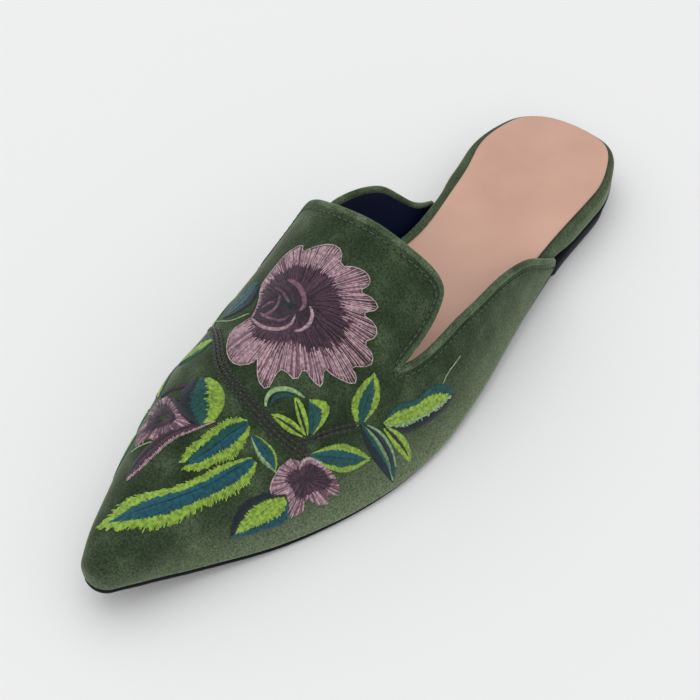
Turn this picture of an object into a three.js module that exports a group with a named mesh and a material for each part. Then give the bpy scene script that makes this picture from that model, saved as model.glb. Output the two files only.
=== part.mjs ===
// A woman's left mule: a pointed toe, a high vamp with a slipper tab, two low side wings, an open back
// and a low block heel. Millimetres, +Z up. The toe points along -Y and the outer side of the foot is +X.
// It is put together from an outsole, a heel block, a wrapped footbed, a sock and a lined upper.
import * as THREE from "three";
import { mergeVertices } from "three/addons/utils/BufferGeometryUtils.js";

// Driving sizes of the whole shoe.
const LENGTH = 262; // toe tip to the back of the footbed
const BALL_WIDTH = 84;
const HEEL_WIDTH = 56.5;
const TOE_INSET = 16.3; // how far the tip lies towards the big toe from the heel's middle
const TOE_SPRING = 10.5;
const HEEL_HEIGHT = 6.5; // the block alone
const HEEL_BREAST = 199; // toe tip to the front face of the block
const CLEARANCE = 0.3; // between pieces that are cemented together

// Sizes of the sole, the footbed and the sock.
const OUTSOLE_THICKNESS = 2;
const OUTSOLE_INSET = 0.7; // the sole's edge lies inside the upper's
const OUTSOLE_CHAMFER = 0.5;
const HEEL_INSET = 0.5; // at its top, inside the outline
const HEEL_TAPER = 0.9; // how much further in its bottom edge lies
const FOOTBED_HEEL_THICKNESS = 8.4;
const FOOTBED_BALL_THICKNESS = 3;
const FOOTBED_TOE_THICKNESS = 1.4;
const FOOTBED_ROLL = 2.2; // radius of the wrapped edge at the heel
const FOOTBED_BLEND = 13; // behind the wings, the way in which its edge comes out from inside them
const SOCK_THICKNESS = 1;
const SOCK_FRONT = 26; // from the toe tip
const SOCK_MARGIN = 2.6; // from the outline at the heel, and the unit of the margins further forward

// Sizes of the upper. Distances run from the toe tip, heights of its edges from the feather line.
const WALL = 1.8; // velvet, stiffener and lining together
const VAMP_HEIGHT = 71; // the ridge above the floor where the tab ends
const VAMP_LENGTH = 124; // toe tip to the middle of the tab's top edge
const OUTER_NOTCH_FROM_TOE = 103;
const INNER_NOTCH_FROM_TOE = 114;
const NOTCH_HEIGHT = 31;
const OUTER_CORNER_FROM_TOE = 135; // the tab's corners
const INNER_CORNER_FROM_TOE = 138;
const OUTER_CORNER_HEIGHT = 43.5;
const INNER_CORNER_HEIGHT = 44;
const TAB_CORNER_ROUND = 5; // how much its rounding takes off the corner
const WING_END = 197.5; // just short of the heel's breast, where the wings stop

const OUTER = 1;
const INNER = -1;
const columnOf = (side) => (side === OUTER ? "outer" : "inner");

// Both ends of the shoe are round, so its stations, from 0 at the toe to 1 at the heel, are spread like the
// shadow of evenly spaced points on a half circle.
const roundness = (at) => (2 / Math.PI) * Math.asin(Math.sqrt(THREE.MathUtils.clamp(at, 0, 1)));
const unroundness = (t) => Math.sin((THREE.MathUtils.clamp(t, 0, 1) * Math.PI) / 2) ** 2;

// A table of named columns as a smooth function of its first one. A column stays level where two rows in
// turn are equal and has no dips or peaks between rows.
function smoothTable(rows, spread = roundness) {
  const knots = rows.map((row) => spread(row.at));
  const last = rows.length - 1;
  const slope = (column, i) => (rows[i + 1][column] - rows[i][column]) / (knots[i + 1] - knots[i]);
  function tangent(column, i) {
    if (i === 0) return slope(column, 0);
    if (i === last) return slope(column, last - 1);
    const [before, after] = [slope(column, i - 1), slope(column, i)];
    return before * after > 0 ? (2 * before * after) / (before + after) : 0;
  }
  return (at, column) => {
    const t = THREE.MathUtils.clamp(spread(at), knots[0], knots[last]);
    const i = Math.min(last - 1, knots.findLastIndex((knot) => knot <= t));
    const step = knots[i + 1] - knots[i];
    const u = (t - knots[i]) / step;
    const values = (1 + 2 * u) * (1 - u) ** 2 * rows[i][column] + u * u * (3 - 2 * u) * rows[i + 1][column];
    const slopes = u * (1 - u) ** 2 * tangent(column, i) - u * u * (1 - u) * tangent(column, i + 1);
    return values + step * slopes;
  };
}

// The feather line seen from above, where upper and sole meet, on the outer and the inner side. The front
// rows are shares of the ball width beside the tip, and the back rows shares of the heel width.
const besideTip = (share) => share * BALL_WIDTH - TOE_INSET;
const outlineTable = smoothTable([
  { at: 0, outer: besideTip(0), inner: besideTip(0) },
  { at: 0.006, outer: besideTip(0.052), inner: besideTip(-0.056) },
  { at: 0.02, outer: besideTip(0.082), inner: besideTip(-0.078) },
  { at: 0.05, outer: besideTip(0.144), inner: besideTip(-0.132) },
  { at: 0.1, outer: besideTip(0.233), inner: besideTip(-0.204) },
  { at: 0.2, outer: besideTip(0.418), inner: besideTip(-0.319) },
  { at: 0.29, outer: besideTip(0.55), inner: besideTip(-0.385) },
  { at: 0.36, outer: 0.418 * BALL_WIDTH, inner: -0.575 * BALL_WIDTH },
  { at: 0.44, outer: 0.444 * BALL_WIDTH, inner: -0.525 * BALL_WIDTH },
  { at: 0.52, outer: 0.431 * BALL_WIDTH, inner: -0.45 * BALL_WIDTH },
  { at: 0.6, outer: 0.4 * BALL_WIDTH, inner: -0.378 * BALL_WIDTH },
  { at: 0.7, outer: 0.54 * HEEL_WIDTH, inner: -0.425 * HEEL_WIDTH },
  { at: 0.8, outer: 0.501 * HEEL_WIDTH, inner: -0.43 * HEEL_WIDTH },
  { at: 0.88, outer: 0.502 * HEEL_WIDTH, inner: -0.478 * HEEL_WIDTH },
  { at: 0.95, outer: 0.426 * HEEL_WIDTH, inner: -0.416 * HEEL_WIDTH },
  { at: 0.99, outer: 0.28 * HEEL_WIDTH, inner: -0.246 * HEEL_WIDTH },
  { at: 1, outer: 0, inner: 0 },
]);

// The underside of the outsole from the side: toe spring, flat tread, then the rise to the heel seat. inset
// is how far its edge lies inside the outline, as a share of the inset at the toe: the upper bulges over it
// beside the ball and the waist.
const treadTable = smoothTable([
  { at: 0, height: TOE_SPRING, inset: 1 },
  { at: 0.05, height: 0.75 * TOE_SPRING, inset: 1 },
  { at: 0.1, height: 0.4 * TOE_SPRING, inset: 1 },
  { at: 0.22, height: 0, inset: 1.2 },
  { at: 0.4, height: 0, inset: 2 },
  { at: 0.56, height: 0.5 * (HEEL_HEIGHT + CLEARANCE), inset: 2 },
  { at: HEEL_BREAST / LENGTH - 0.03, height: HEEL_HEIGHT + CLEARANCE, inset: 1.2 },
  { at: 1, height: HEEL_HEIGHT + CLEARANCE, inset: 1 },
]);

// The footbed from the toe to the padded heel seat. inset is how far its edge lies inside the outline, as a
// share of the wall: it fits inside the upper, and behind the wings it comes out to the outline.
const footbedTable = smoothTable([
  { at: 0, thickness: FOOTBED_TOE_THICKNESS, inset: 2.3 },
  { at: 0.14, thickness: FOOTBED_BALL_THICKNESS, inset: 1.8 },
  { at: 0.42, thickness: FOOTBED_BALL_THICKNESS, inset: 1.8 },
  { at: 0.6, thickness: 0.6 * FOOTBED_HEEL_THICKNESS, inset: 1.95 },
  { at: WING_END / LENGTH, thickness: FOOTBED_HEEL_THICKNESS, inset: 1.4 },
  { at: (WING_END + FOOTBED_BLEND) / LENGTH, thickness: FOOTBED_HEEL_THICKNESS, inset: 0 },
  { at: 1, thickness: FOOTBED_HEEL_THICKNESS, inset: 0 },
]);

// How far the sock's edge lies inside the outline, as shares of its margin at the heel.
const sockTable = smoothTable([
  { at: 0, outer: 2.1, inner: 2.1 },
  { at: 0.3, outer: 1.6, inner: 1.6 },
  { at: 0.5, outer: 1.9, inner: 3.4 },
  { at: 0.6, outer: 2.2, inner: 3.6 },
  { at: 0.7, outer: 2, inner: 3.1 },
  { at: 0.8, outer: 1.25, inner: 2 },
  { at: 0.9, outer: 1.05, inner: 1.25 },
  { at: 1, outer: 1, inner: 1 },
]);

// The last above the feather line. ridge is the height of its top line above the floor, as a share of the
// vamp's height, and lean is where that line lies from the middle, as a share of the ball width. side and
// crown say how far each half stays upright and level before it turns: 0.55 is an ellipse and more is
// squarer. outer and inner are how far the wall swells beyond the feather line on each side, also as shares
// of the ball width.
const lastTable = smoothTable([
  { at: 0, ridge: 0.275, lean: -TOE_INSET / BALL_WIDTH, side: 0.5, crown: 0.49, outer: 0, inner: 0 },
  { at: 0.03, ridge: 0.31, lean: -0.18, side: 0.66, crown: 0.52, outer: 0.05, inner: 0.045 },
  { at: 0.1, ridge: 0.43, lean: -0.16, side: 0.61, crown: 0.5, outer: 0.005, inner: 0.026 },
  { at: 0.2, ridge: 0.555, lean: -0.14, side: 0.56, crown: 0.48, outer: -0.05, inner: 0.025 },
  { at: 0.33, ridge: 0.724, lean: -0.093, side: 0.49, crown: 0.46, outer: -0.1, inner: 0.022 },
  { at: 0.43, ridge: 0.918, lean: -0.06, side: 0.475, crown: 0.5, outer: -0.09, inner: 0.067 },
  { at: 0.48, ridge: 1.016, lean: -0.05, side: 0.475, crown: 0.53, outer: -0.083, inner: 0.106 },
  { at: 0.53, ridge: 1.11, lean: -0.046, side: 0.48, crown: 0.56, outer: -0.078, inner: 0.145 },
  { at: 0.6, ridge: 1.155, lean: -0.046, side: 0.49, crown: 0.6, outer: -0.073, inner: 0.2 },
  { at: 0.67, ridge: 1.21, lean: -0.045, side: 0.5, crown: 0.62, outer: -0.065, inner: 0.25 },
  { at: 0.8, ridge: 1.23, lean: 0, side: 0.6, crown: 0.55, outer: 0, inner: 0 },
]);

// The top edge of the wings from the notch at 0 to their end at 1, as shares of the notch's height.
const wingTable = smoothTable(
  [
    { at: 0, outer: 1.1, inner: 1.18 },
    { at: 0.1, outer: 1.045, inner: 0.985 },
    { at: 0.3, outer: 1.055, inner: 0.94 },
    { at: 0.45, outer: 0.975, inner: 1 },
    { at: 0.6, outer: 0.86, inner: 0.9 },
    { at: 0.75, outer: 0.66, inner: 0.7 },
    { at: 0.82, outer: 0.52, inner: 0.45 },
    { at: 0.9, outer: 0.31, inner: 0.2 },
    { at: 1, outer: 0.1, inner: 0.1 },
  ],
  (at) => at,
);

// A point of the outline, moved inwards by a distance.
function outlinePoint(at, side, inset = 0) {
  const column = columnOf(side);
  const t = roundness(at);
  const [low, high] = [Math.max(0, t - 1e-3), Math.min(1, t + 1e-3)];
  const xAt = (spot) => outlineTable(unroundness(spot), column);
  const across = (xAt(high) - xAt(low)) / (high - low);
  const along = (Math.PI / 2) * Math.sin(Math.PI * t) * LENGTH;
  const inwards = new THREE.Vector2(-along, across).multiplyScalar(side).normalize();
  return new THREE.Vector2(outlineTable(at, column), at * LENGTH).addScaledVector(inwards, inset);
}

const treadZ = (y) => treadTable(y / LENGTH, "height");
const featherZ = (y) => treadZ(y) + OUTSOLE_THICKNESS + CLEARANCE;
const footbedTop = (y) => featherZ(y) + footbedTable(y / LENGTH, "thickness");

// One half of the last's cross-section as a curve, from the ridge at 0 to the feather line at 1.
function halfSection(y, side) {
  const read = (column) => lastTable(y / LENGTH, column);
  const swell = read(columnOf(side)) * BALL_WIDTH;
  const ridge = new THREE.Vector3(read("lean") * BALL_WIDTH, y, read("ridge") * VAMP_HEIGHT);
  const feather = new THREE.Vector3(outlinePoint(y / LENGTH, side).x, y, featherZ(y));
  const upright = feather.clone();
  upright.x += side * swell;
  upright.z += read("side") * (ridge.z - feather.z);
  const level = ridge.clone();
  level.x += read("crown") * (upright.x - ridge.x);
  return new THREE.CubicBezierCurve3(ridge, level, upright, feather);
}

// The share of a half section at which it stands this high above the feather line.
function shareAtHeight(curve, height) {
  let [low, high] = [0, 1];
  for (let i = 0; i < 30; i += 1) {
    const middle = (low + high) / 2;
    if (curve.getPointAt(middle).z - curve.v3.z > height) low = middle;
    else high = middle;
  }
  return (low + high) / 2;
}

// A point of the last: across runs from 1 at the outer feather line over the ridge at 0 to -1.
const lastPoint = (y, across) => halfSection(y, across >= 0 ? OUTER : INNER).getPointAt(Math.abs(across));

// Grid counts of the upper. Rows run from the toe to the heel and columns across the last.
const FRONT_ROWS = 26;
const TAB_ROWS = 7;
const TAB_COLUMNS = 9; // on each side of the ridge
const WING_ROWS = 16;
const WING_COLUMNS = 5;
const HALF_COLUMNS = TAB_COLUMNS + WING_COLUMNS;

const notchFromToe = { [OUTER]: OUTER_NOTCH_FROM_TOE, [INNER]: INNER_NOTCH_FROM_TOE };
const cornerFromToe = { [OUTER]: OUTER_CORNER_FROM_TOE, [INNER]: INNER_CORNER_FROM_TOE };
const cornerHeight = { [OUTER]: OUTER_CORNER_HEIGHT, [INNER]: INNER_CORNER_HEIGHT };
const wingY = (back, side) => THREE.MathUtils.lerp(notchFromToe[side], WING_END, back);
const wingShare = (back, side) =>
  shareAtHeight(halfSection(wingY(back, side), side), NOTCH_HEIGHT * wingTable(back, columnOf(side)));
const notchShare = {};
const cornerShare = {};
for (const side of [OUTER, INNER]) {
  notchShare[side] = wingShare(0, side);
  cornerShare[side] = shareAtHeight(halfSection(cornerFromToe[side], side), cornerHeight[side]);
}

// How far across the last a column lies at the notches: wing columns outside, tab columns inside.
function notchColumn(j) {
  const side = j < HALF_COLUMNS ? OUTER : INNER;
  const out = Math.abs(HALF_COLUMNS - j);
  const notch = notchShare[side];
  if (out <= TAB_COLUMNS) return (side * notch * out) / TAB_COLUMNS;
  return side * (notch + ((1 - notch) * (out - TAB_COLUMNS)) / WING_COLUMNS);
}

// How far from the toe a column meets the line from notch to notch: level with a notch in its wing, and
// between the two notches in the tab.
function notchLine(j) {
  const between = THREE.MathUtils.clamp((j - WING_COLUMNS) / (2 * TAB_COLUMNS), 0, 1);
  return THREE.MathUtils.lerp(OUTER_NOTCH_FROM_TOE, INNER_NOTCH_FROM_TOE, between);
}

const listOf = (count, make) => Array.from({ length: count }, (_, i) => make(i));

// The closed part of the upper, from the toe tip to the notches. Its columns are evenly spaced at the tip.
function frontPatch() {
  return listOf(FRONT_ROWS + 1, (i) => {
    const back = i / FRONT_ROWS;
    return listOf(2 * HALF_COLUMNS + 1, (j) => {
      const y = unroundness(back * roundness(notchLine(j) / LENGTH)) * LENGTH;
      const across = THREE.MathUtils.lerp(1 - j / HALF_COLUMNS, notchColumn(j), back);
      return lastPoint(y, across);
    });
  });
}

// The tab behind the notches. It tapers to its corners, which are rounded, and its top edge is cut square
// to the rising ridge, so that its middle lies nearer the toe than its corners.
function tabPatch() {
  return listOf(TAB_ROWS + 1, (i) => {
    const back = i / TAB_ROWS;
    return listOf(2 * TAB_COLUMNS + 1, (j) => {
      const side = j < TAB_COLUMNS ? OUTER : INNER;
      const out = Math.abs(TAB_COLUMNS - j) / TAB_COLUMNS;
      const start = notchLine(j + WING_COLUMNS);
      const reach = THREE.MathUtils.lerp(VAMP_LENGTH, cornerFromToe[side], out * out) - start;
      const rounding = 1 - (TAB_CORNER_ROUND / reach) * out ** 6;
      const edge = THREE.MathUtils.lerp(notchShare[side], cornerShare[side], back);
      const narrowing = 1 - (TAB_CORNER_ROUND / BALL_WIDTH) * 1.5 * back ** 5;
      return lastPoint(start + back * reach * rounding, side * out * edge * narrowing);
    });
  });
}

// A wing, from the notch back to where it runs out beside the footbed.
function wingPatch(side) {
  return listOf(WING_ROWS + 1, (i) => {
    const y = wingY(i / WING_ROWS, side);
    const top = wingShare(i / WING_ROWS, side);
    const row = listOf(WING_COLUMNS + 1, (j) => lastPoint(y, side * (1 - ((1 - top) * j) / WING_COLUMNS)));
    return side === OUTER ? row : row.reverse();
  });
}

// Patches of points that share edges, as one sheet: its merged corners and its faces.
function joinPatches(patches) {
  const corners = [];
  const faces = [];
  const found = new Map();
  function cornerOf(point) {
    const key = point.toArray().map((value) => Math.round(value * 1000)).join();
    if (!found.has(key)) found.set(key, corners.push(point) - 1);
    return found.get(key);
  }
  for (const rows of patches) {
    for (let i = 0; i + 1 < rows.length; i += 1) {
      for (let j = 0; j + 1 < rows[i].length; j += 1) {
        faces.push([rows[i][j], rows[i + 1][j], rows[i + 1][j + 1], rows[i][j + 1]].map(cornerOf));
      }
    }
  }
  return { corners, faces };
}

// Each corner's outward direction, from the faces round it.
function cornerNormals({ corners, faces }) {
  const normals = corners.map(() => new THREE.Vector3());
  for (const face of faces) {
    const [a, b, c, d] = face.map((corner) => corners[corner]);
    const normal = c.clone().sub(a).cross(d.clone().sub(b)).normalize();
    for (const corner of face) normals[corner].add(normal);
  }
  return normals.map((normal) => normal.normalize());
}

// Points and triangles as a geometry, without the triangles that have shrunk to a line.
function indexedGeometry(points, index) {
  const geometry = new THREE.BufferGeometry().setFromPoints(points).setIndex(index);
  const merged = mergeVertices(geometry, 1e-4);
  const corners = merged.index.array;
  const whole = [];
  for (let i = 0; i < corners.length; i += 3) {
    const [a, b, c] = corners.subarray(i, i + 3);
    if (a !== b && b !== c && c !== a) whole.push(a, b, c);
  }
  merged.setIndex(whole);
  merged.computeVertexNormals();
  return merged;
}

// A sheet given a wall on its inside. Along the feather line the wall stays level with the sole.
function wallGeometry(sheet, wall) {
  const normals = cornerNormals(sheet);
  const inside = sheet.corners.map((corner, i) => {
    const inwards = normals[i].clone().negate();
    const onFeather = Math.abs(corner.z - featherZ(corner.y)) < 1e-6;
    if (!onFeather) return corner.clone().addScaledVector(inwards, wall);
    const point = corner.clone().addScaledVector(inwards.setZ(0).normalize(), wall);
    return point.setZ(featherZ(point.y));
  });
  const index = [];
  const fill = (loop) => {
    for (let i = 1; i + 1 < loop.length; i += 1) index.push(loop[0], loop[i], loop[i + 1]);
  };
  const rim = new Map();
  const shift = sheet.corners.length;
  for (const face of sheet.faces) {
    fill(face);
    fill(face.map((corner) => corner + shift).reverse());
    face.forEach((corner, i) => {
      const next = face[(i + 1) % face.length];
      if (!rim.delete(`${next},${corner}`)) rim.set(`${corner},${next}`, [corner, next]);
    });
  }
  for (const [from, to] of rim.values()) fill([to, from, from + shift, to + shift]);
  return indexedGeometry([...sheet.corners, ...inside], index);
}

// Closed rings of equally many points, skinned. A ring that isn't shut to a line gets a cap.
function loftGeometry(rings) {
  const size = rings[0].length;
  const index = [];
  for (let i = 0; i + 1 < rings.length; i += 1) {
    for (let j = 0; j < size; j += 1) {
      const [a, b] = [i * size + j, i * size + ((j + 1) % size)];
      index.push(a, b + size, b, a, a + size, b + size);
    }
  }
  const end = (rings.length - 1) * size;
  const isOpen = (ring) => ring[0].distanceTo(ring[size - 1]) > 1e-3;
  for (let j = 0; j + 1 < size / 2; j += 1) {
    const [a, b, c, d] = [j, j + 1, size - 2 - j, size - 1 - j];
    if (isOpen(rings[0])) index.push(a, b, c, a, c, d);
    if (isOpen(rings.at(-1))) index.push(end + a, end + c, end + b, end + a, end + d, end + c);
  }
  return indexedGeometry(rings.flat(), index);
}

const spreadStations = (from, to, count) =>
  listOf(count + 1, (i) => unroundness(THREE.MathUtils.lerp(roundness(from), roundness(to), i / count)));

// A layer that follows the outline. edge gives its edge at a station from the bottom up, as insets and
// heights, and each ring runs up the outer edge and down the inner one.
function layerGeometry(stations, edge) {
  const rings = stations.map((at) => {
    const edgeOf = (side) =>
      edge(at, side).map(({ inset, height }) => {
        const { x, y } = outlinePoint(at, side, inset);
        return new THREE.Vector3(x, y, height(y));
      });
    return [...edgeOf(OUTER), ...edgeOf(INNER).reverse()];
  });
  return loftGeometry(rings);
}

function outsole() {
  const lifted = (lift) => (y) => treadZ(y) + lift;
  return layerGeometry(spreadStations(0, 1, 48), (at) => {
    const inset = OUTSOLE_INSET * treadTable(at, "inset");
    return [
      { inset: inset + OUTSOLE_CHAMFER, height: lifted(0) },
      { inset, height: lifted(OUTSOLE_CHAMFER) },
      { inset, height: lifted(OUTSOLE_THICKNESS) },
    ];
  });
}

// The block under the heel seat, a letter D from below. It narrows towards the floor.
function heel() {
  const levels = [
    { height: HEEL_HEIGHT, inset: HEEL_INSET },
    { height: 0, inset: HEEL_INSET + HEEL_TAPER },
  ];
  const stations = spreadStations(HEEL_BREAST / LENGTH, 1, 20);
  const rings = levels.map(({ height, inset }) => {
    const edgeOf = (side) =>
      stations.map((at, i) => {
        const { x, y } = outlinePoint(at, side, inset);
        return new THREE.Vector3(x, i === 0 ? HEEL_BREAST : y, height);
      });
    return [...edgeOf(OUTER), ...edgeOf(INNER).reverse().slice(1)];
  });
  return loftGeometry(rings);
}

// The padded insole board wrapped in velvet. Its edge rolls over in a quarter circle.
function footbed() {
  const turns = 4;
  return layerGeometry(spreadStations(0, 1, 60), (at) => {
    const inset = WALL * footbedTable(at, "inset");
    const roll = Math.min(FOOTBED_ROLL, 0.6 * footbedTable(at, "thickness"));
    const arc = listOf(turns + 1, (i) => {
      const angle = ((i / turns) * Math.PI) / 2;
      return {
        inset: inset + roll * (1 - Math.cos(angle)),
        height: (y) => footbedTop(y) - roll * (1 - Math.sin(angle)),
      };
    });
    return [{ inset, height: featherZ }, ...arc];
  });
}

// The smooth sheet that lies on the footbed and runs into the toe.
function sock() {
  return layerGeometry(spreadStations(SOCK_FRONT / LENGTH, 1, 40), (at, side) => {
    const inset = SOCK_MARGIN * sockTable(at, columnOf(side));
    return [
      { inset, height: (y) => footbedTop(y) + CLEARANCE },
      { inset, height: (y) => footbedTop(y) + CLEARANCE + SOCK_THICKNESS },
    ];
  });
}

function upper() {
  const sheet = joinPatches([frontPatch(), tabPatch(), wingPatch(OUTER), wingPatch(INNER)]);
  return wallGeometry(sheet, WALL);
}

function piece(name, geometry, color, roughness) {
  const mesh = new THREE.Mesh(geometry, new THREE.MeshStandardMaterial({ color, roughness, metalness: 0 }));
  mesh.name = name;
  return mesh;
}

const mule = new THREE.Group();
mule.add(
  piece("outsole", outsole(), 0x15161c, 0.6),
  piece("heel", heel(), 0x1c2030, 0.45),
  piece("footbed", footbed(), 0x3f5539, 0.9),
  piece("insole_sock", sock(), 0xcfa38f, 0.55),
  piece("upper", upper(), 0x3f5539, 0.9),
);

// The shoe stands on z = 0 with its origin under the middle of its own box.
const box = new THREE.Box3().setFromObject(mule);
const middle = box.getCenter(new THREE.Vector3());
mule.position.set(-middle.x, -middle.y, -box.min.z);

export default mule;
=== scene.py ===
import math
import random

import bmesh
import bpy
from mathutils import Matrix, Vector
from mathutils.bvhtree import BVHTree


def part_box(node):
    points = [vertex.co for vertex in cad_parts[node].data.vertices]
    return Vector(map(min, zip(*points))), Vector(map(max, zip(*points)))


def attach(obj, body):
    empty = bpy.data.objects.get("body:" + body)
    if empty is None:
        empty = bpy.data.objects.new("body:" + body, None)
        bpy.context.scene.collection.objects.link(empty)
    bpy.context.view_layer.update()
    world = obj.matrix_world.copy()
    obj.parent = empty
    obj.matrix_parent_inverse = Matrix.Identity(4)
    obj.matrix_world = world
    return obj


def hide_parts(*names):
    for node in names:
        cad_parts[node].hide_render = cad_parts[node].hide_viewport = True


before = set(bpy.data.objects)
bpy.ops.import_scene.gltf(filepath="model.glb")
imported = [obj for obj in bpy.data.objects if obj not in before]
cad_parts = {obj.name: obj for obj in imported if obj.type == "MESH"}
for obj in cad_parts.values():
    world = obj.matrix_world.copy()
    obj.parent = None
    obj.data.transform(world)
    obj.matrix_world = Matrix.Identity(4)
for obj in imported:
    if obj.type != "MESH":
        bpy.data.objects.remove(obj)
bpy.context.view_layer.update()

# View and light
# The shoe stands on a pale studio floor and is seen from in front of its outer side, looking down past the
# toe. One broad soft light hangs over it, a second fills from the toe and a pale room lights the rest.

MM = 0.001


def place(x, y, z):
    """A point in millimetres as Blender's metres."""
    return Vector((x, y, z)) * MM


eye = place(182.8, -274.5, 377.9)
aim = place(3.4, -18.0, 22.0)
camera_data = bpy.data.cameras.new("camera")
camera_data.lens = 74.0
camera_data.sensor_width = 36.0
camera_data.clip_start = 0.01
camera = bpy.data.objects.new("camera", camera_data)
bpy.context.scene.collection.objects.link(camera)
camera.location = eye
camera.rotation_euler = (aim - eye).to_track_quat("-Z", "Y").to_euler()
bpy.context.scene.camera = camera
bpy.context.scene.view_settings.view_transform = "Standard"

world = bpy.data.worlds.new("studio")
world.use_nodes = True
world.node_tree.nodes["Background"].inputs["Color"].default_value = (0.985, 0.99, 1.0, 1.0)
world.node_tree.nodes["Background"].inputs["Strength"].default_value = 0.775
bpy.context.scene.world = world


def soft_light(name, spot, target, width, power):
    """A square area light that faces its target."""
    data = bpy.data.lights.new(name, "AREA")
    data.size = width
    data.energy = power
    lamp = bpy.data.objects.new(name, data)
    bpy.context.scene.collection.objects.link(lamp)
    lamp.location = spot
    lamp.rotation_euler = (target - spot).to_track_quat("-Z", "Y").to_euler()


soft_light("overhead", Vector((-0.25, 0.12, 1.3)), Vector((0, 0, 0)), 1.3, 3.6)
soft_light("toe_fill", Vector((0.7, -0.8, 0.5)), Vector((0, -0.03, 0.02)), 0.8, 1.1)


def paint(red, green, blue):
    """A colour from 0 to 255, as a linear one."""
    def straight(value):
        value /= 255
        return value / 12.92 if value < 0.04045 else ((value + 0.055) / 1.055) ** 2.4

    return (straight(red), straight(green), straight(blue), 1.0)


def plain_material(name, color, roughness):
    """A material with one principled shader, and that shader."""
    material = bpy.data.materials.new(name)
    material.use_nodes = True
    shader = material.node_tree.nodes["Principled BSDF"]
    shader.inputs["Base Color"].default_value = color
    shader.inputs["Roughness"].default_value = roughness
    return material, shader


def finished(mesh_or_bmesh, name, materials):
    """A named object at the origin from a mesh or a bmesh, with its materials."""
    if isinstance(mesh_or_bmesh, bmesh.types.BMesh):
        mesh = bpy.data.meshes.new(name)
        mesh_or_bmesh.to_mesh(mesh)
        mesh_or_bmesh.free()
    else:
        mesh = mesh_or_bmesh
    for material in materials:
        mesh.materials.append(material)
    piece = bpy.data.objects.new(name, mesh)
    bpy.context.scene.collection.objects.link(piece)
    return piece


floor_mesh = bmesh.new()
bmesh.ops.create_grid(floor_mesh, x_segments=1, y_segments=1, size=3.0)
floor_paper = plain_material("floor_paper", paint(245, 245, 245), 0.9)[0]
floor = finished(floor_mesh, "floor", [floor_paper])

# Upper
# A velvet upper lasted over a pointed toe, with a slipper tab and two low wings. It is lined in smooth navy
# fabric that shows inside the wings and under the tab, and its edge is folded over.

VELVET_DARK = paint(38, 52, 34)
VELVET_MIDDLE = paint(51, 66, 45)
VELVET_LIGHT = paint(74, 89, 64)
# The pale velvet colour and the band heights below paint a sheen: the velvet is painted paler low down,
# where its pile catches grazing light.
VELVET_PAINTED_SHEEN = paint(112, 126, 98)
PAINTED_SHEEN_TOP = 30 * MM
PAINTED_SHEEN_BOTTOM = 2 * MM
PATCHES_PER_METRE = 90
GRAINS_PER_METRE = 1500
TUFTS_PER_METRE = 900
TUFT_DEPTH = 0.25 * MM
FOLD = math.radians(55)
SOLE_HEIGHT = 20 * MM
FACING_DOWN = -0.8
SMOOTHING = 2


def grey(value):
    """A linear grey."""
    return (value, value, value, 1.0)


def noise(tree, scale, detail=3.0):
    """A noise texture on the piece's own coordinates, with its scale in grains per metre."""
    coordinates = tree.nodes.new("ShaderNodeTexCoord")
    texture = tree.nodes.new("ShaderNodeTexNoise")
    texture.inputs["Scale"].default_value = scale
    texture.inputs["Detail"].default_value = detail
    tree.links.new(coordinates.outputs["Object"], texture.inputs["Vector"])
    return texture.outputs["Fac"]


def ramp(tree, factor, stops):
    """A colour ramp over a factor. stops are (place, colour)."""
    node = tree.nodes.new("ShaderNodeValToRGB")
    elements = node.color_ramp.elements
    elements[0].position, elements[0].color = stops[0]
    elements[1].position, elements[1].color = stops[-1]
    for position, color in stops[1:-1]:
        elements.new(position).color = color
    tree.links.new(factor, node.inputs["Fac"])
    return node.outputs["Color"]


def mixed(tree, factor, first, second, kind="MIX"):
    """Two colours mixed by a factor, which is a socket or a number."""
    node = tree.nodes.new("ShaderNodeMix")
    node.data_type = "RGBA"
    node.blend_type = kind
    if isinstance(factor, float):
        node.inputs[0].default_value = factor
    else:
        tree.links.new(factor, node.inputs[0])
    for value, socket in ((first, node.inputs[6]), (second, node.inputs[7])):
        if isinstance(value, tuple):
            socket.default_value = value
        else:
            tree.links.new(value, socket)
    return node.outputs[2]


def relief(tree, shader, height, depth, strength=1.0):
    """Bump from a height, chained in front of any bump that the shader already has."""
    bump = tree.nodes.new("ShaderNodeBump")
    bump.inputs["Distance"].default_value = depth
    bump.inputs["Strength"].default_value = strength
    tree.links.new(height, bump.inputs["Height"])
    before = shader.inputs["Normal"].links
    if before:
        tree.links.new(before[0].from_socket, bump.inputs["Normal"])
    tree.links.new(bump.outputs["Normal"], shader.inputs["Normal"])


def heights(tree, low, high):
    """A factor that runs from 0 at one height above the floor to 1 at another."""
    coordinates = tree.nodes.new("ShaderNodeTexCoord")
    split = tree.nodes.new("ShaderNodeSeparateXYZ")
    between = tree.nodes.new("ShaderNodeMapRange")
    between.inputs["From Min"].default_value = low
    between.inputs["From Max"].default_value = high
    tree.links.new(coordinates.outputs["Object"], split.inputs["Vector"])
    tree.links.new(split.outputs["Z"], between.inputs["Value"])
    return between.outputs["Result"]


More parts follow.
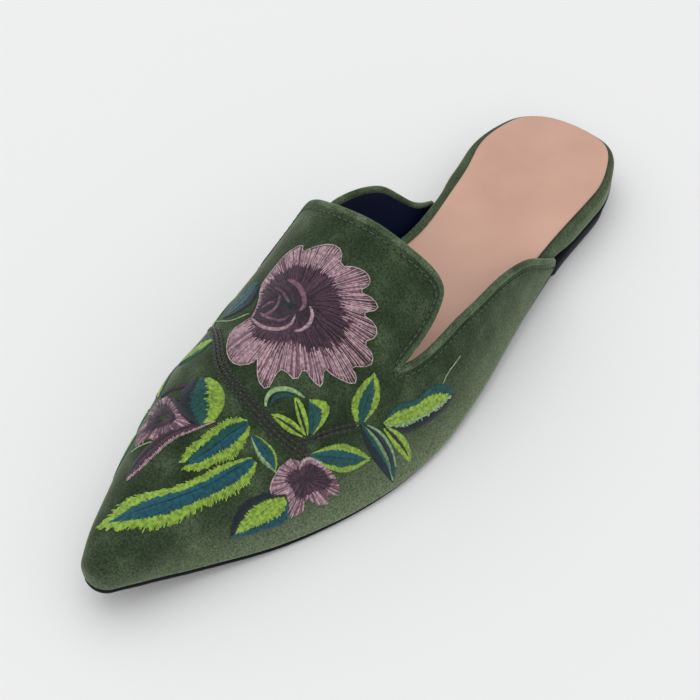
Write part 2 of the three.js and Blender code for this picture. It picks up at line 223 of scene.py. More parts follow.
def velvet(name, dark, middle, light):
    """Short pile: brushed patches, fine grain, a painted sheen that makes it paler low down, and a shader
    sheen along its surface.
    """
    material, shader = plain_material(name, middle, 0.85)
    tree = material.node_tree
    cloud = noise(tree, PATCHES_PER_METRE, 5.0)
    patches = ramp(tree, cloud, [(0.34, dark), (0.52, middle), (0.72, light)])
    grain = ramp(tree, noise(tree, GRAINS_PER_METRE, 2.0), [(0.3, grey(0.5)), (0.7, grey(1.45))])
    brushed = mixed(tree, 1.0, patches, grain, "MULTIPLY")
    # Painted sheen: a paler velvet colour is mixed in towards the floor, where the pile catches grazing
    # light.
    pale = mixed(tree, 1.0, VELVET_PAINTED_SHEEN, grain, "MULTIPLY")
    painted_sheen_amount = ramp(
        tree,
        heights(tree, PAINTED_SHEEN_BOTTOM, PAINTED_SHEEN_TOP),
        [(0.0, grey(0.95)), (0.3, grey(0.5)), (0.7, grey(0.06)), (1.0, grey(0.0))],
    )
    tree.links.new(mixed(tree, painted_sheen_amount, brushed, pale), shader.inputs["Base Color"])
    shader.inputs["Sheen Weight"].default_value = 0.42
    shader.inputs["Sheen Roughness"].default_value = 0.35
    shader.inputs["Sheen Tint"].default_value = (0.62, 0.7, 0.52, 1)
    shader.inputs["Specular IOR Level"].default_value = 0.12
    relief(tree, shader, noise(tree, TUFTS_PER_METRE, 2.0), TUFT_DEPTH, 0.7)
    return material


velvet_material = velvet("olive_velvet", VELVET_DARK, VELVET_MIDDLE, VELVET_LIGHT)

lining_material, lining_shader = plain_material("navy_lining", paint(3, 14, 45), 0.65)
lining_shader.inputs["Specular IOR Level"].default_value = 0.15
lining_tree = lining_material.node_tree
relief(lining_tree, lining_shader, noise(lining_tree, 300, 2.0), 0.2 * MM, 0.4)


def smooth_copy(node):
    """A CAD node's mesh as a bmesh of quads, with its doubles merged."""
    shape = bmesh.new()
    shape.from_mesh(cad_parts[node].data)
    bmesh.ops.remove_doubles(shape, verts=shape.verts, dist=1e-6)
    bmesh.ops.join_triangles(
        shape,
        faces=shape.faces,
        angle_face_threshold=math.radians(50),
        angle_shape_threshold=math.radians(120),
    )
    for face in shape.faces:
        face.smooth = True
    return shape


def regions(shape, fold):
    """The shape's faces in groups that meet at less than a fold's angle, largest first."""
    left = set(shape.faces)
    groups = []
    while left:
        start = left.pop()
        group = {start}
        queue = [start]
        while queue:
            face = queue.pop()
            for edge in face.edges:
                for other in edge.link_faces:
                    if other in left and edge.calc_face_angle(0) < fold:
                        left.discard(other)
                        group.add(other)
                        queue.append(other)
        groups.append(group)
    return sorted(groups, key=len, reverse=True)


upper_shape = smooth_copy("upper")
crispness = upper_shape.edges.layers.float.new("crease_edge")
sides = regions(upper_shape, FOLD)[:2]
outside = max(sides, key=lambda group: sum(face.calc_area() for face in group))
lining = min(sides, key=lambda group: sum(face.calc_area() for face in group))
for face in lining:
    face.material_index = 1

# The folded edge: its outer corners in order, from the outer wing's end over the tab to the inner one's.
# The upper's other edge faces down. It is cemented flat on the sole, so it keeps its corners.
rim_links = {}
for edge in upper_shape.edges:
    strips = [face for face in edge.link_faces if face not in outside and face not in lining]
    if len(strips) != 1:
        continue
    on_outside = any(face in outside for face in edge.link_faces)
    if strips[0].normal.z < FACING_DOWN and strips[0].calc_center_median().z < SOLE_HEIGHT:
        edge[crispness] = 0.7 if on_outside else 1.0
    elif on_outside:
        for vertex, other in ((edge.verts[0], edge.verts[1]), (edge.verts[1], edge.verts[0])):
            rim_links.setdefault(vertex, []).append(other)
ends = [vertex for vertex, linked in rim_links.items() if len(linked) == 1]
corner = max(ends, key=lambda vertex: vertex.co.x)
topline = [corner]
while True:
    onward = [other for other in rim_links[topline[-1]] if other not in topline[-2:]]
    if not onward:
        break
    topline.append(onward[0])
topline_points = []
for vertex in topline:
    across = [
        edge.other_vert(vertex)
        for edge in vertex.link_edges
        if any(face in lining for face in edge.other_vert(vertex).link_faces)
    ]
    partner = min(across, key=lambda other: (other.co - vertex.co).length) if across else vertex
    topline_points.append((vertex.co.copy(), partner.co.copy()))

upper = finished(upper_shape, "upper_velvet", [velvet_material, lining_material])
rounding = upper.modifiers.new("rounding", "SUBSURF")
rounding.levels = rounding.render_levels = SMOOTHING
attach(upper, "root")
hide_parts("upper")

# Topline
# The upper's edge is turned in over a soft cord and stitched down, so it stands as a slim round roll with
# one row of small stitches below it, from one wing's end over the tab to the other's. It thins out at
# both ends. Its roll is painted lighter than the upper, as a painted highlight, and a dark tube under the
# stitches is painted shade in their groove.

ROLL_RADIUS = 1.3 * MM
ROLL_STEP = 2.0 * MM
ROLL_TAPER = 14 * MM
ROLL_END_SHARE = 0.45
STITCH_BELOW_EDGE = 2.6 * MM
TOPLINE_STITCH = 1.7 * MM
TOPLINE_GAP = 0.8 * MM
TOPLINE_THREAD_RADIUS = 0.2 * MM
STITCH_RISE = 0.26 * MM
STITCH_END_RISE = 0.05 * MM
GROOVE_RADIUS = 0.27 * MM
GROOVE_STEP = 1.5 * MM

bpy.context.view_layer.update()
skin = BVHTree.FromObject(upper, bpy.context.evaluated_depsgraph_get())


def even_path(points, spacing):
    """Points at an even spacing along a line of points, with its last one."""
    path = [points[0]]
    left = spacing
    for before, after in zip(points, points[1:]):
        start, length = 0.0, (after - before).length
        while length - start > left:
            start += left
            path.append(before.lerp(after, start / length))
            left = spacing
        left -= length - start
    return path + [points[-1]]


def rounded_path(points, passes):
    """The same line with its corners cut, a number of times."""
    for _ in range(passes):
        cut = [points[0]]
        for before, after in zip(points, points[1:]):
            cut += [before.lerp(after, 0.25), before.lerp(after, 0.75)]
        points = cut + [points[-1]]
    return points


def tubes(name, lines, radius, material, sides=1):
    """Round strands along lines of (point, thickness share), as one mesh."""
    curve = bpy.data.curves.new(name, "CURVE")
    curve.dimensions = "3D"
    curve.bevel_depth = radius
    curve.bevel_resolution = sides
    curve.use_fill_caps = True
    for line in lines:
        strand = curve.splines.new("POLY")
        strand.points.add(len(line) - 1)
        for point, (spot, share) in zip(strand.points, line):
            point.co = (*spot, 1.0)
            point.radius = share
        strand.use_smooth = True
    carrier = bpy.data.objects.new(name, curve)
    mesh = bpy.data.meshes.new_from_object(carrier)
    bpy.data.objects.remove(carrier)
    bpy.data.curves.remove(curve)
    mesh.name = name
    for polygon in mesh.polygons:
        polygon.use_smooth = True
    mesh.materials.clear()
    return finished(mesh, name, [material])


roll_line = rounded_path([outer.lerp(inner, 0.5) for outer, inner in topline_points], 2)
roll_line = even_path(roll_line, ROLL_STEP)
# The roll's velvet is painted a step lighter than the upper's: a painted highlight along the folded edge.
roll_highlight_material = velvet("folded_velvet_painted_highlight", VELVET_MIDDLE, paint(76, 92, 68), paint(104, 119, 93))
roll_strand = []
for count, spot in enumerate(roll_line):
    from_end = min(count, len(roll_line) - 1 - count) * ROLL_STEP
    roll_strand.append((spot, min(1.0, ROLL_END_SHARE + (1 - ROLL_END_SHARE) * from_end / ROLL_TAPER)))
roll = tubes("topline_roll", [roll_strand], ROLL_RADIUS, roll_highlight_material, 3)
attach(roll, "root")

stitch_line = []
for i, (outer, inner) in enumerate(topline_points):
    before = topline_points[max(0, i - 1)][0]
    after = topline_points[min(len(topline_points) - 1, i + 1)][0]
    wall = (outer - inner).normalized()
    away = wall.cross((after - before).normalized()).normalized()
    stitch_line.append(skin.find_nearest(outer + away * STITCH_BELOW_EDGE)[0])
stitch_line = rounded_path(stitch_line[1:-1], 2)
marks = even_path(stitch_line, TOPLINE_STITCH + TOPLINE_GAP)
dashes = []
for before, after in zip(marks, marks[1:]):
    far = before.lerp(after, TOPLINE_STITCH / (TOPLINE_STITCH + TOPLINE_GAP))
    dash = []
    for spot, rise in (
        (before, STITCH_END_RISE),
        (before.lerp(far, 0.5), STITCH_RISE),
        (far, STITCH_END_RISE),
    ):
        near, normal, _, _ = skin.find_nearest(spot)
        dash.append((near + normal * rise, 1.0))
    dashes.append(dash)
# A thin dark tube along the stitch row, under the stitches: painted shade in the groove they press into the
# pile.
groove = [skin.find_nearest(spot)[0] for spot in even_path(stitch_line, GROOVE_STEP)]
groove_shade_material = plain_material("stitched_groove_painted_shade", paint(30, 40, 27), 0.9)[0]
groove_shade_line = [(spot, 1.0) for spot in groove]
stitched_groove_painted_shade = tubes("stitched_groove_painted_shade", [groove_shade_line], GROOVE_RADIUS, groove_shade_material)
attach(stitched_groove_painted_shade, "root")
stitch_material = plain_material("olive_thread", paint(74, 88, 62), 0.6)[0]
topline_stitches = tubes("topline_stitches", dashes, TOPLINE_THREAD_RADIUS, stitch_material)
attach(topline_stitches, "root")

# Footbed
# A padded insole board wrapped in the same velvet. Its round edge is hidden inside the upper in front and
# shows as a band round the heel.

SHARP_EDGE = math.radians(48)


def layered_copy(node, name, materials, crease):
    """A CAD layer as a smooth piece whose sharp edges stay crisp, fully so at a crease of 1."""
    shape = smooth_copy(node)
    sharpness = shape.edges.layers.float.new("crease_edge")
    for edge in shape.edges:
        if edge.calc_face_angle(0) > SHARP_EDGE:
            edge[sharpness] = crease
    piece = finished(shape, name, materials)
    smoothing = piece.modifiers.new("rounding", "SUBSURF")
    smoothing.levels = smoothing.render_levels = SMOOTHING
    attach(piece, "root")
    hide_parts(node)
    return piece


footbed = layered_copy("footbed", "footbed_velvet", [velvet_material], 0.75)

# Sock
# A thin sheet of smooth pink leather glued on the footbed, with faint clouding and shallow creases.

sock_material, sock_shader = plain_material("pink_leather", paint(204, 160, 141), 0.5)
sock_tree = sock_material.node_tree
sock_cloud = ramp(
    sock_tree, noise(sock_tree, 28, 3.0), [(0.3, paint(203, 158, 139)), (0.7, paint(216, 174, 154))]
)
sock_tree.links.new(sock_cloud, sock_shader.inputs["Base Color"])
sock_shader.inputs["Specular IOR Level"].default_value = 0.3
relief(sock_tree, sock_shader, noise(sock_tree, 700, 3.0), 0.08 * MM, 0.35)
relief(sock_tree, sock_shader, noise(sock_tree, 45, 2.0), 0.6 * MM, 0.3)
layered_copy("insole_sock", "sock_leather", [sock_material], 0.9)

# Outsole
# A thin flexible sole, near black, with a fine pebbled tread underneath. Its cut edge is trimmed a hair
# wider than the upper's lasted edge, so it shows as a dark line all round.

EDGE_OUTWARD = 0.8 * MM
FACING_SIDEWAYS = 0.4
sole_material, sole_shader = plain_material("black_sole", paint(9, 11, 14), 0.6)
sole_shader.inputs["Specular IOR Level"].default_value = 0.15
sole_tree = sole_material.node_tree
relief(sole_tree, sole_shader, noise(sole_tree, 600, 2.0), 0.2 * MM, 0.6)
outsole = layered_copy("outsole", "outsole_black", [sole_material], 0.85)
for vertex in outsole.data.vertices:
    sideways = Vector((vertex.normal.x, vertex.normal.y, 0))
    if sideways.length > FACING_SIDEWAYS:
        vertex.co += sideways.normalized() * EDGE_OUTWARD

# Heel
# A low stacked block, lacquered dark navy, with a top piece on the floor side that shows as a fine line.

NAVY = paint(8, 13, 32)
LINE_COLOR = paint(4, 5, 11)
TOP_PIECE = 1.6 * MM
HALF_LINE = 0.3 * MM
heel_material, heel_shader = plain_material("navy_lacquer", NAVY, 0.55)
heel_shader.inputs["Specular IOR Level"].default_value = 0.18
heel_tree = heel_material.node_tree
off_line = ramp(
    heel_tree,
    heights(heel_tree, TOP_PIECE - HALF_LINE, TOP_PIECE + HALF_LINE),
    [(0.0, grey(1.0)), (0.5, grey(0.0)), (1.0, grey(1.0))],
)
heel_tree.links.new(mixed(heel_tree, off_line, LINE_COLOR, NAVY), heel_shader.inputs["Base Color"])
relief(heel_tree, heel_shader, off_line, 0.3 * MM, 0.8)
relief(heel_tree, heel_shader, noise(heel_tree, 260, 2.0), 0.08 * MM, 0.3)
layered_copy("heel", "heel_block", [heel_material], 0.92)

# Embroidery
# Flowers and leaves worked over the vamp in lustrous thread: satin stitches side by side in several
# colours, long and short where two meet, and stems of chain stitch. A place on the vamp is given by its
# distance from the toe tip in millimetres and its turn in degrees from straight up, positive to the outer
# side, about a line low in the middle of the toe. The other sizes of the chart are millimetres too.

TOE_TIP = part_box("upper")[0].y
MIDDLE_AT_TIP = -9.8
MIDDLE_DRIFT = 0.07
MIDDLE_HEIGHT = 10
TIP_RISE = 6
TIP_RISE_LENGTH = 40
RADIUS_AT_TIP = 8
RADIUS_GROWTH = 0.36
OUTSIDE_THE_SHOE = 200
STRAND_RADIUS = 0.23 * MM
STRAND_SPACING = 0.54
FINE_STEP = 0.4
STRAND_LIFT = 0.14
LAYER_LIFT = 0.07
STRAND_SINK = 0.2
STRAND_BEND = 0.14
LONG_STRAND = 5
chance = random.Random(7)
strands = {}


def on_vamp(spot):
    """The point of the velvet at a place."""
    from_toe, turn = spot
    rise = TIP_RISE * max(0.0, 1 - from_toe / TIP_RISE_LENGTH)
    middle = place(MIDDLE_AT_TIP + MIDDLE_DRIFT * from_toe, from_toe, MIDDLE_HEIGHT + rise)
    middle.y += TOE_TIP
    out = Vector((math.sin(math.radians(turn)), 0, math.cos(math.radians(turn))))
    return skin.ray_cast(middle + out * OUTSIDE_THE_SHOE * MM, -out)[0]


def degree_size(from_toe):
    """The length of one degree of turn on the velvet, which grows as the toe widens."""
    return math.radians(RADIUS_AT_TIP + RADIUS_GROWTH * from_toe)


def laid(spot, lift):
    """The nearest point of the velvet to a spot, lifted off it."""
    near, normal, _, _ = skin.find_nearest(spot)
    return near + normal * lift * MM


def stitch(color, start, end, thickness=1.0, lift=STRAND_LIFT):
    """One strand laid on the velvet. Both its ends go down through it."""
    middles = 3 if (end - start).length > LONG_STRAND * MM else 2
    line = [(laid(start, -STRAND_SINK), 0.8 * thickness)]
    for i in range(middles):
        share = STRAND_BEND + (1 - 2 * STRAND_BEND) * i / (middles - 1)
        line.append((laid(start.lerp(end, share), lift), thickness))
    line.append((laid(end, -STRAND_SINK), 0.7 * thickness))
    strands.setdefault(color, []).append(line)


def vamp_line(places, spacing, rounding=3):
    """A smooth line over the velvet through a few places, as evenly spaced points."""
    points = rounded_path([Vector((*spot, 0)) for spot in places], rounding)
    return even_path([on_vamp(point[:2]) for point in points], spacing * MM)


def along(line, share):
    """The point of an evenly spaced line at a share of its length."""
    at = min(max(share, 0.0), 1.0) * (len(line) - 1)
    before = min(int(at), len(line) - 2)
    return line[before].lerp(line[before + 1], at - before)


def half_leaf(rib, edge, layers, slant=0.16, ragged=0.04):
    """Slanting stitches from a rib to an edge, from stalk to tip, in layers of (colour, from, to)."""
    rib_line = vamp_line(rib, FINE_STEP)
    edge_line = vamp_line(edge, FINE_STEP, 2)
    count = round(max(len(rib_line), len(edge_line)) * FINE_STEP / STRAND_SPACING)
    for i in range(count + 1):
        start = along(rib_line, i / count * (1 - slant) - 0.02)
        end = along(edge_line, i / count)
        for rank, (color, low, high) in enumerate(layers):
            near = low + (chance.uniform(-0.08, 0.08) if low > 0 else 0)
            far = high + (chance.uniform(-ragged, ragged) if high == 1 else chance.uniform(-0.1, 0.1))
            lift = STRAND_LIFT + LAYER_LIFT * rank
            stitch(color, start.lerp(end, near), start.lerp(end, far), 1.0, lift)


def leaf(rib, upper_edge, lower_edge, upper_layers, lower_layers=None, ragged=0.04):
    """A leaf drawn by its rib and its two edges, each from the stalk to the tip."""
    half_leaf(rib, upper_edge, upper_layers, ragged=ragged)
    half_leaf(rib, lower_edge, lower_layers or upper_layers, ragged=ragged)


def even_leaf(rib, width, upper_layers, lower_layers=None):
    """A leaf of an even outline along its rib, broadest a little before its middle."""
    edges = ([rib[0]], [rib[0]])
    points = even_path(rounded_path([Vector((*spot, 0)) for spot in rib], 2), 4.0)
    for i in range(1, len(points) - 1):
        size = degree_size(points[i].x)
        forward = points[i + 1] - points[i - 1]
        across = Vector((-forward.y * size, forward.x)).normalized()
        reach = 0.5 * width * math.sin(math.pi * (i / (len(points) - 1)) ** 0.85) ** 0.75
        for edge, side in zip(edges, (reach, -reach)):
            edge.append((points[i].x + side * across.x, points[i].y + side * across.y / size))
    leaf(rib, edges[0] + [rib[-1]], edges[1] + [rib[-1]], upper_layers, lower_layers)


def bloom(center, outline, heart, rows):
    """A flower head of stitches that run outwards.

    A row is (colours drawn from, start, end, raggedness). A start or end of 0 is the centre, 1 the edge of
    the heart and 2 the scalloped outline. None in place of a colour leaves a gap.
    """
    middle = Vector(center)
    scale = Vector((1.0, degree_size(middle.x)))

    def reach(loop, heading):
        farthest = 0.0
        for before, after in zip(loop, loop[1:] + loop[:1]):
            near = (Vector(before) - middle) * scale
            edge = (Vector(after) - middle) * scale - near
            slope = heading.cross(edge)
            if abs(slope) > 1e-9 and 0 <= near.cross(heading) / slope <= 1:
                farthest = max(farthest, near.cross(edge) / slope)
        return farthest

    def spot(heading, share, inner, outer):
        far = inner * share if share < 1 else inner + (outer - inner) * (share - 1)
        step = heading * far
        return on_vamp((middle.x + step.x, middle.y + step.y / scale.y))

    size = max(reach(outline, Vector((math.cos(i), math.sin(i)))) for i in range(6))
    for colors, low, high, ragged in rows:
        radius = size * (0.5 * min(high, 1) + 0.4 * max(0, high - 1))
        count = round(2 * math.pi * radius / STRAND_SPACING)
        for i in range(count):
            color = chance.choice(colors)
            angle = 2 * math.pi * (i + chance.uniform(-0.3, 0.3)) / count
            heading = Vector((math.cos(angle), math.sin(angle)))
            inner, outer = reach(heart, heading), reach(outline, heading)
            near = max(0.05, low + chance.uniform(-ragged, ragged))
            far = high if high == 2 else high + chance.uniform(-ragged, ragged)
            if color:
                stitch(color, spot(heading, near, inner, outer), spot(heading, far, inner, outer))


def satin_line(places, width, color, spacing=0.42, lift=0.22):
    """A narrow band of stitches straight across a line, thin at both ends."""
    rib = vamp_line(places, spacing)
    for i in range(1, len(rib) - 1):
        normal = skin.find_nearest(rib[i])[1]
        forward = (rib[i + 1] - rib[i - 1]).normalized()
        reach = 0.5 * width * MM * math.sin(math.pi * i / (len(rib) - 1)) ** 0.5
        across = (normal.cross(forward).normalized() + forward * 0.6) * reach
        stitch(color, rib[i] - across, rib[i] + across, 1.0, lift)


def chain_stitch(places, color, dots, link=2.3, beside=0.0):
    """A row of thread loops, each caught by a small paler stitch."""
    rib = vamp_line(places, link)
    for before, after in zip(rib, rib[1:]):
        normal = skin.find_nearest(before)[1]
        sideways = normal.cross((after - before).normalized()).normalized()
        shift = sideways * beside * MM
        for side in (1, -1):
            belly = before.lerp(after, 0.55) + sideways * side * 0.55 * MM
            stitch(color, before + shift, belly + shift, 1.2)
            stitch(color, belly + shift, after + shift, 1.2)
        stitch(dots, before.lerp(after, 0.5) + shift, before.lerp(after, 0.78) + shift, 0.8, 0.1)


def running_line(places, color, spacing=2.6, thickness=0.9, rounding=2):
    """A thin line of stitches end to end."""
    rib = vamp_line(places, spacing, rounding)
    for before, after in zip(rib, rib[1:]):
        stitch(color, before, after + (after - before) * 0.15, thickness)


# The big flower in the middle of the vamp: pale pointed petals round a ragged plum heart.
petals = [
    (107.8, -22), (110.5, -20), (113.2, -14), (110, -12), (112, -9), (114.3, -3), (113.8, 2),
    (109.5, 4.5), (112, 9), (112.9, 13), (111.5, 16), (107.5, 14.5), (109.5, 20), (108.9, 24), (104, 20),
    (105.6, 27), (103.8, 31), (99.5, 28.5), (100, 36), (97.4, 39), (92.3, 32.5), (92.5, 38), (90.3, 41),
    (86.8, 31), (86.3, 24.5), (82, 31.5), (81.2, 26), (82, 18.5), (77.4, 20.5), (77.6, 12), (75.5, 11),
    (69.6, 13.5), (70.4, 6), (77, -2), (73.8, -1), (71.2, -8), (73, -16), (77.7, -23), (83, -26),
    (86.6, -20), (88.6, -18), (93.5, -20), (99, -25), (103.4, -24),
]
petals = [tuple(spot) for spot in rounded_path([Vector(spot) for spot in petals + petals[:1]], 1)[1:-1]]
heart = [
    (88.6, -18), (87.3, -16), (81.5, -8), (82.3, 0), (84.5, 5), (86.8, 9), (86.5, 13), (89, 17), (91.4, 19),
    (94.3, 21), (98.6, 19), (101.5, 13), (103.4, 9), (105.2, 3), (106, -4), (105.5, -12), (101.5, -19),
    (98, -22), (93.5, -19),
]
bloom(
    (94, -2),
    petals,
    heart,
    [
        (("rose", "rose", "mauve"), 1.0, 2, 0.12),
        (("rose", "mauve", None), 1.2, 1.9, 0.1),
        (("plum", "plum", "dark_plum", None), 0.95, 1.4, 0.24),
        (("plum", "dark_plum"), 0.5, 1.15, 0.15),
        (("plum", "dark_plum"), 0.4, 1.1, 0.15),
        (("dark_plum",), 0.0, 0.62, 0.12),
    ],
)
for before, after in zip(petals, petals[1:] + petals[:1]):
    running_line([before, after], "pale_rose", 1.8, 0.75, 0)

# The bud that curls inside its heart.
half_leaf(
    [(88, -17), (91, -8), (96, -2)],
    [(88, -17), (95, -18), (101, -12), (100, -3), (96, 0)],
    [("night", 0.0, 0.6), ("dark_plum", 0.5, 1)],
)
half_leaf(
    [(88, -17), (91, -8), (96, -2)],
    [(87.5, -17), (86, -8), (88, 1), (93, 3), (96, 0)],
    [("night", 0.0, 0.6), ("dark_plum", 0.5, 1)],
)
satin_line([(101.2, -11), (100.5, -6), (98.5, -1), (95.5, 2.5), (93.5, 1.5)], 2.1, "mauve")
satin_line([(96.2, 4), (95, 6.8), (92.4, 8.4), (89.5, 7.6), (88, 5)], 1.3, "rose")
satin_line([(87.5, -18), (85.1, -10), (85.6, -2), (88.4, 2.5), (92, 1.5)], 1.3, "rose")
satin_line([(88.4, -13), (90.3, -9.5), (93.1, -8), (96.2, -10.5)], 1.2, "mauve")
satin_line([(98.2, -15), (97.3, -10), (94.7, -4.5)], 1.2, "mauve")
satin_line([(99.5, -16), (99.3, -11), (97.3, -5), (94.8, -2)], 0.9, "plum")
satin_line([(89.5, -15), (88.2, -8), (88.8, -2), (91.5, -0.5)], 1.0, "mauve")
satin_line([(91, -16), (93.5, -13), (93.5, -11)], 0.9, "mauve")

# The blue bud beside it on the inner side, with its stalk.
leaf(
    [(89.3, -43), (94, -35), (100.5, -28)],
    [(89.3, -43), (95.5, -41), (102.6, -33), (100.5, -27)],
    [(89.3, -43), (89.2, -32), (93, -22), (99, -25)],
    [("teal", 0.4, 1), ("blue", 0.0, 0.5)],
    [("night", 0.45, 1), ("teal", 0.0, 0.55)],
)
running_line([(91.5, -58), (88.5, -45), (86.3, -32), (89, -22)], "pale_green", 2.2, 0.9)

# The chain-stitched stem from side to side, and its branch.
stem = [
    (97, -88), (94, -78), (91, -66), (88, -55), (83, -40), (78, -30), (72.8, -22), (68.9, -14), (65.6, -2),
    (63.4, 10), (62.9, 22), (63.2, 34), (64.6, 46), (66.9, 56),
]
for beside in (-1.5, 0.0, 1.5):
    chain_stitch(stem[4:], "bark", "straw", 2.2, beside)
chain_stitch(stem[:5], "bark", "straw", 2.2)
for beside in (-0.7, 0.8):
    chain_stitch([(66, 44), (70, 49), (75.7, 52), (79.4, 55), (85.1, 60)], "bark", "straw", 2.2, beside)

LIME_EDGE = [("lime", 0.42, 1), ("teal", 0.0, 0.52)]
LIME = [("lime", 0.14, 1), ("bark", 0.0, 0.22)]
TEAL_EDGE = [("teal", 0.4, 1), ("lime", 0.0, 0.5)]
NIGHT_EDGE = [("night", 0.5, 1), ("lime", 0.0, 0.52)]

# Leaves round the stem on the outer side, from the middle outwards.
satin_line([(66, 18.5), (67.9, 15.5), (71, 15), (73.8, 19), (75.3, 23), (76.2, 29)], 1.5, "pale_green")
satin_line([(67.3, 19.5), (69.9, 18.2), (72.3, 20.5), (74.4, 26)], 1.3, "teal")
leaf(
    [(69.9, 45.5), (71.6, 36), (74.3, 25)],
    [(69.5, 44.5), (70.9, 33), (74.1, 25)],
    [(70.5, 45.5), (73.3, 39), (75, 29), (74.3, 25)],
    LIME,
)
leaf(
    [(69.3, 45.5), (67.6, 35), (65.8, 23.5)],
    [(69.9, 44.5), (69.5, 34), (67.5, 25.5), (65.8, 23.5)],
    [(68.8, 45.5), (65.7, 36), (65.5, 25)],
    LIME,
)
leaf(
    [(71.3, 46.5), (74.6, 41), (77, 32)],
    [(71, 45), (73.5, 38), (76.5, 32)],
    [(71.7, 47.5), (77.9, 46), (81.2, 40.5), (79.8, 35.5), (77.1, 31.5)],
    [("teal", 0.0, 1)],
    LIME_EDGE,
)
leaf(
    [(86.2, 59), (90.8, 51), (97.3, 43)],
    [(84.4, 59.5), (85.6, 48), (91.3, 42.5), (97.5, 42.5)],
    [(87.6, 60), (94, 57.5), (97.4, 49), (97.5, 42.5)],
    LIME_EDGE,
)
leaf(
    [(92.4, 67), (100.6, 71), (109, 74), (121, 80)],
    [(93, 66.5), (98, 63.5), (102.3, 64.5), (107, 69), (112.4, 66.5), (118.5, 71.5), (121.4, 79)],
    [(93, 70), (96.4, 78.5), (101.3, 81.5), (108.8, 83.5), (116.5, 84.5), (121.4, 82)],
    [("teal", 0.45, 1), ("lime", 0.0, 0.5)],
    [("night", 0.55, 1), ("pale_green", 0.32, 0.62), ("lime", 0.0, 0.4)],
)
running_line([(117.3, 71), (120.5, 68), (124.9, 67), (128, 66)], "pale_green")
leaf(
    [(86.1, 59.5), (88.3, 73), (88.9, 86), (87.3, 97)],
    [(86, 60), (84.2, 67), (83.7, 80), (85.4, 91), (87, 97)],
    [(87.2, 61), (90.7, 70), (92, 83), (90.6, 91), (87.4, 97)],
    [("night", 0.45, 1), ("teal", 0.0, 0.55)],
    [("teal", 0.4, 1), ("night", 0.0, 0.5)],
)
satin_line([(86.5, 62), (87.9, 73), (88.3, 86), (87.2, 96)], 1.2, "pale_green")
satin_line([(87.2, 62), (90.2, 70), (91.2, 82), (89.9, 91)], 0.9, "pale_green")
leaf(
    [(92.1, 70), (94.4, 81), (95.8, 93)],
    [(91.4, 70), (91.9, 82), (95.1, 93.5)],
    [(93.4, 70), (97.2, 80), (97.4, 90), (95.8, 93.5)],
    LIME,
)
leaf(
    [(67.6, 56.5), (74.3, 68), (78.3, 74), (83.2, 79.5)],
    [(68.4, 56.5), (73, 58.5), (77.5, 61.5), (81.3, 70), (83.4, 79)],
    [(68, 58), (68.8, 67), (72.2, 76.5), (76.5, 80.5), (83, 80)],
    [("lime", 0.48, 1), ("blue", 0.0, 0.58)],
    [("lime", 0.55, 1), ("teal", 0.0, 0.62)],
)
leaf(
    [(57.6, 24.5), (57.9, 36), (56.9, 48), (56.2, 52)],
    [(57, 25), (55.9, 29), (54.4, 39), (55.6, 48), (56.2, 52)],
    [(58.1, 25.5), (59.1, 30), (60, 40), (58.4, 47.5), (56.2, 52)],
    [("pale_green", 0.55, 1), ("blue", 0.0, 0.62)],
    [("lime", 0.6, 1), ("teal", 0.0, 0.7)],
)
leaf(
    [(54.4, 72), (48.1, 71), (42.9, 73), (39.5, 75), (36.5, 78)],
    [(54.8, 69), (51.9, 61), (45.3, 55), (41.2, 57.5), (37.3, 68.5), (36.3, 78)],
    [(54.9, 75), (54.3, 85), (50.5, 90), (45.8, 87), (40.5, 84.5), (36.3, 80)],
    NIGHT_EDGE,
    [("blue", 0.55, 1), ("lime", 0.0, 0.6)],
)

# Leaves at the toe: a broad one under the bud and the longest one, which runs to the tip.
leaf(
    [(58.9, 17.5), (52.5, 14), (45.8, 12), (41.2, 9), (37.6, 4.5)],
    [(59.6, 16), (58.6, 11), (54.9, 5.5), (48.4, 3), (42.7, -1), (38.3, 2)],
    [(58.6, 20.5), (55.9, 24), (49.7, 28), (44, 20.5), (39, 16), (36.9, 7)],
    LIME_EDGE,
    [("lime", 0.4, 1), ("blue", 0.0, 0.48)],
    0.1,
)
leaf(
    [(53, 35), (47.6, 32), (40.3, 29), (33, 23), (25.9, 13), (19.2, -5), (14.5, -31), (12.4, -52)],
    [(53.2, 34), (51.3, 30.5), (42.7, 21), (34.8, 16.5), (28.3, 4.5), (22, -24), (16, -39), (12.4, -52)],
    [
        (53.1, 37), (53.7, 40), (47.6, 48), (40.4, 45.5), (31.8, 39), (23.7, 37), (17.2, 21), (13.4, -18),
        (12.2, -51),
    ],
    [("lime", 0.3, 1), ("blue", 0.0, 0.42)],
    [("lime", 0.45, 1), ("blue", 0.0, 0.55)],
    0.13,
)

# The small flower low on the outer side.
small_petals = [
    (62.3, 50.5), (58.2, 50.5), (54.2, 54.5), (52.1, 59), (51.6, 65), (55.6, 69), (54.8, 78),
    (52.9, 82.5), (54, 88), (57.8, 87), (60.2, 80), (62.6, 88), (66, 91), (66.5, 84.5), (69.8, 89),
    (70.9, 83), (70.9, 74), (69.4, 66), (67.1, 58), (64, 56),
]
small_heart = [
    (62.8, 59), (59.6, 57.5), (57, 61), (58.5, 65), (57.5, 73), (59.8, 79), (63.5, 77), (66.5, 83),
    (69.5, 78), (68.7, 68), (66.3, 60),
]
bloom(
    (62.5, 67.5),
    small_petals,
    small_heart,
    [
        (("rose", "mauve"), 1.0, 2, 0.12),
        (("mauve", "plum", None), 0.95, 1.55, 0.2),
        (("plum", "dark_plum"), 0.3, 1.15, 0.2),
        (("dark_plum",), 0.0, 0.45, 0.1),
    ],
)
satin_line([(62.4, 60), (64.9, 56), (67.3, 58), (69.2, 66)], 0.9, "pale_rose")
running_line([(58.2, 50.8), (54.4, 54.6), (52.3, 59), (51.9, 64)], "pale_rose", 1.8, 0.8)

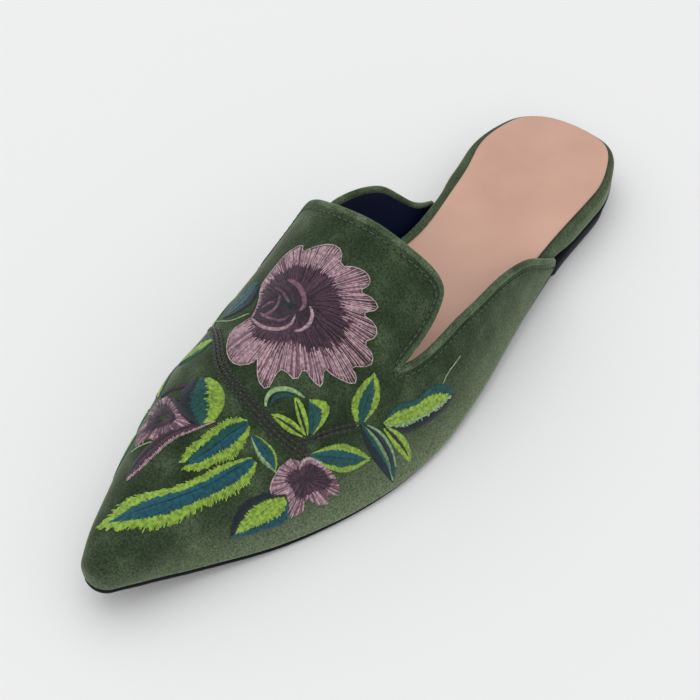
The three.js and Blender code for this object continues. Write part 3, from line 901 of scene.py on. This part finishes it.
# The flower on the inner side of the toe, in its green cup, and its long petal.
bloom(
    (49.5, -32),
    [
        (56.9, -52), (57.7, -44), (55.5, -36), (53.5, -27), (51, -17), (49.3, -7), (47.6, -12), (46.2, -14),
        (45.9, -20), (44.2, -21), (43.4, -26), (41, -27), (42, -34), (38.5, -45), (40.5, -52), (46, -57),
        (48.5, -54), (53.1, -61),
    ],
    [
        (54, -47), (54.2, -40), (52.4, -31), (50, -22), (47.8, -23), (46.4, -28), (44.8, -36), (44.5, -46),
        (48, -48),
    ],
    [
        (("mauve", "plum", "rose"), 1.0, 2, 0.15),
        (("plum", "dark_plum", None), 0.9, 1.7, 0.2),
        (("dark_plum",), 0.3, 1.25, 0.2),
    ],
)
satin_line([(58, -53), (59.8, -46), (60.4, -36), (62.5, -25)], 1.5, "dark_plum")
satin_line([(57, -36), (54.5, -29), (51.8, -20), (50, -10)], 1.6, "dark_plum")
half_leaf(
    [(65, -17), (64.4, -9), (61.3, -1), (57.7, 2.5), (53, 2.5), (51, -0.5)],
    [(63.6, -27), (60, -29), (56.2, -31), (53, -26), (51, -16), (50.2, -5)],
    [("lime", 0.0, 0.42), ("teal", 0.3, 0.85), ("night", 0.66, 1)],
    0.0,
)
satin_line([(64.4, -27), (62, -28), (58.5, -30)], 2.6, "night")
half_leaf(
    [(51.6, -1), (49, -10), (45.6, -22), (41, -30), (36.4, -36), (28.4, -37)],
    [(53.6, 3), (48, -4), (44.2, -12), (36.7, -18.5), (30.6, -26), (27.6, -33)],
    [("dark_plum", 0.0, 0.7), ("plum", 0.5, 0.88), ("rose", 0.84, 1)],
    0.05,
)
running_line([(37.4, -50), (38.9, -43), (40.8, -30)], "pale_green")

# Leaves on the inner side.
even_leaf([(79, -36), (77, -48), (72.5, -61)], 10, TEAL_EDGE)
even_leaf([(88, -52), (101, -65), (126, -74)], 8.5, TEAL_EDGE, NIGHT_EDGE)
even_leaf([(59, -59), (69, -73), (84, -86)], 8.5, TEAL_EDGE, NIGHT_EDGE)
even_leaf([(45, -60), (40, -70), (32, -86)], 8, TEAL_EDGE)
even_leaf([(54, -64), (54, -77), (51, -92)], 7, TEAL_EDGE)
running_line([(80, -34), (84, -42), (88, -52)], "straw")

THREADS = {
    "lime": (140, 174, 60),
    "pale_green": (142, 172, 122),
    "teal": (8, 76, 72),
    "blue": (6, 80, 94),
    "night": (9, 30, 42),
    "pale_rose": (186, 162, 166),
    "rose": (177, 146, 154),
    "mauve": (126, 88, 104),
    "plum": (78, 46, 64),
    "dark_plum": (46, 27, 42),
    "bark": (32, 36, 27),
    "straw": (92, 98, 74),
}
for color, shade in THREADS.items():
    dyed, thread_shader = plain_material(color + "_thread", paint(*shade), 0.45)
    thread_tree = dyed.node_tree
    deeper = paint(*[0.8 * part for part in shade])
    lighter = paint(*[min(255, 1.12 * part + 3) for part in shade])
    uneven = ramp(thread_tree, noise(thread_tree, 900, 2.0), [(0.34, deeper), (0.66, lighter)])
    thread_tree.links.new(uneven, thread_shader.inputs["Base Color"])
    thread_shader.inputs["Sheen Weight"].default_value = 0.12
    thread_shader.inputs["Specular IOR Level"].default_value = 0.35
    embroidery = tubes("embroidery_" + color, strands[color], STRAND_RADIUS, dyed)
    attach(embroidery, "root")
